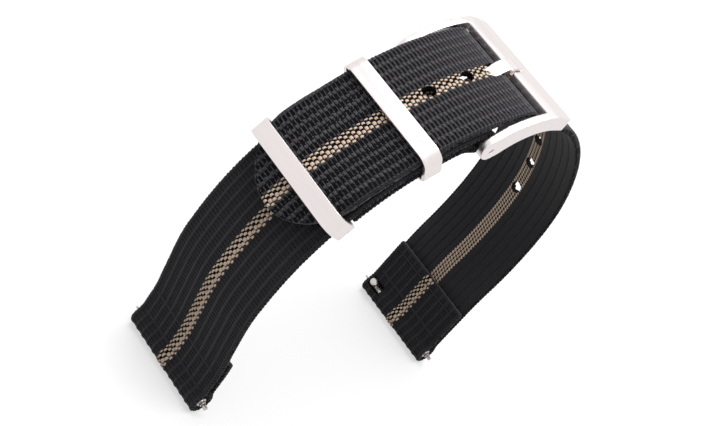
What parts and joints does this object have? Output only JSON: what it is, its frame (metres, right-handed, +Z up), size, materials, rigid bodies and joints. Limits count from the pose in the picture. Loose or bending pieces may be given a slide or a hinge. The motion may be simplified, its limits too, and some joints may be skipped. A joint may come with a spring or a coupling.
{
  "type": "two-piece watch strap",
  "caption": "Two-piece watch strap in ribbed dark webbing with a tan centre stripe, tang buckle, sliding steel keepers and quick-release spring bars, closed as on a wrist.",
  "frame": {"origin": "middle of the closed strap's length and width, on the ground that its two lug ends stand on", "axes": "+X from the short strap's lug end to the long strap's lug end, +Y across the webbing towards the release-knob edge, +Z up through the arch"},
  "size_m": [0.0748, 0.0236, 0.0711],
  "materials": {
    "webbing": "ribbed woven",
    "thread": "twisted thread",
    "satin_steel": "satin",
    "bar_steel": "machined",
    "spring_wire": "drawn wire"
  },
  "bodies": {
    "straps": {"short_strap": "webbing", "short_strap_lug_stitching": "thread", "short_strap_buckle_stitching": "thread", "long_strap": "webbing", "long_strap_lug_stitching": "thread"},
    "buckle": {"buckle_frame": "satin_steel", "buckle_bar_tube": "bar_steel", "buckle_bar_spring": "spring_wire"},
    "tongue": {"buckle_tongue": "satin_steel"},
    "buckle_near_tip": {"buckle_bar_near_tip": "bar_steel"},
    "buckle_far_tip": {"buckle_bar_far_tip": "bar_steel"},
    "buckle_side_keeper": {"buckle_keeper": "satin_steel"},
    "end_side_keeper": {"tip_keeper": "satin_steel"},
    "short_lug_bar": {"short_lug_bar_tube": "bar_steel", "short_lug_bar_fixed_pin": "bar_steel", "short_lug_bar_spring": "spring_wire"},
    "short_lug_release": {"short_lug_bar_release_pin": "bar_steel", "short_lug_bar_knob": "bar_steel"},
    "long_lug_bar": {"long_lug_bar_tube": "bar_steel", "long_lug_bar_fixed_pin": "bar_steel", "long_lug_bar_spring": "spring_wire"},
    "long_lug_release": {"long_lug_bar_release_pin": "bar_steel", "long_lug_bar_knob": "bar_steel"}
  },
  "joints": [
    {"name": "buckle_hinge", "type": "hinge", "parent": "straps", "child": "buckle", "pos_m": [-0.01232, 0, 0.06304], "axis": [0, -1, 0], "range_deg": [0, 2.5]},
    {"name": "tongue_hinge", "type": "hinge", "parent": "buckle", "child": "tongue", "pos_m": [-0.01232, 0, 0.06304], "axis": [0, -1, 0], "range_deg": [0, 1.5]},
    {"name": "near_tip_slide", "type": "slide", "parent": "buckle", "child": "buckle_near_tip", "axis": [0, 1, 0], "range_m": [0, 0.0015], "stiffness_N_per_m": 400, "springref_m": -0.001, "deforming": ["buckle_bar_spring"]},
    {"name": "far_tip_slide", "type": "slide", "parent": "buckle", "child": "buckle_far_tip", "axis": [0, -1, 0], "range_m": [0, 0.0015], "stiffness_N_per_m": 400, "springref_m": -0.001, "deforming": ["buckle_bar_spring"]},
    {"name": "buckle_keeper_slide", "type": "hinge", "parent": "straps", "child": "buckle_side_keeper", "pos_m": [0.00337, 0, 0.0294], "axis": [0, 1, 0], "range_deg": [-4, 7]},
    {"name": "tip_keeper_slide", "type": "hinge", "parent": "straps", "child": "end_side_keeper", "pos_m": [0.00337, 0, 0.0294], "axis": [0, 1, 0], "range_deg": [-18, 0.3]},
    {"name": "short_lug_bar_turn", "type": "hinge", "parent": "straps", "child": "short_lug_bar", "pos_m": [-0.03024, 0, 0.00228], "axis": [0, 1, 0], "range_deg": [-5, 5]},
    {"name": "short_lug_release_slide", "type": "slide", "parent": "short_lug_bar", "child": "short_lug_release", "axis": [0, -1, 0], "range_m": [0, 0.0012], "stiffness_N_per_m": 400, "springref_m": -0.001, "deforming": ["short_lug_bar_spring"]},
    {"name": "long_lug_bar_turn", "type": "hinge", "parent": "straps", "child": "long_lug_bar", "pos_m": [0.03391, 0, 0.00228], "axis": [0, 1, 0], "range_deg": [-5, 5]},
    {"name": "long_lug_release_slide", "type": "slide", "parent": "long_lug_bar", "child": "long_lug_release", "axis": [0, -1, 0], "range_m": [0, 0.0012], "stiffness_N_per_m": 400, "springref_m": -0.001, "deforming": ["long_lug_bar_spring"]}
  ]
}
